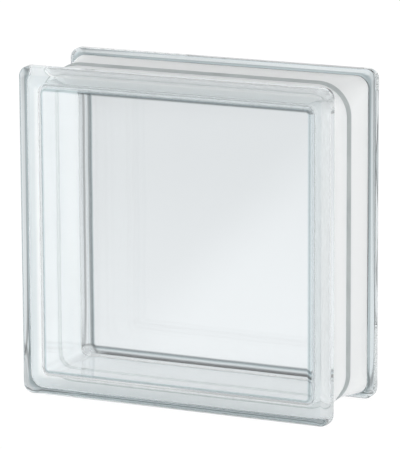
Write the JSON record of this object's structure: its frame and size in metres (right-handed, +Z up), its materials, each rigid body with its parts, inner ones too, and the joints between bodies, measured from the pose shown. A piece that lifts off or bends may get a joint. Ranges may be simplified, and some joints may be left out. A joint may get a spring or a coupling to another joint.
{
  "type": "glass block",
  "caption": "Square hollow block of clear pressed glass with flat faces, projecting rims and a recessed mortar channel round its edges, for light-passing walls and panels.",
  "frame": {"origin": "on the floor under the middle of the block, which stands upright on the edges of its two rims", "axes": "+X along the width, +Y along the depth from the front face to the back face, +Z up"},
  "size_m": [0.197, 0.079, 0.197],
  "materials": {
    "glass": "clear, glossy, fire-polished, with a thin matt white edge coat in the mortar channel"
  },
  "bodies": {
    "root": {"glass_block": "glass"}
  },
  "joints": []
}
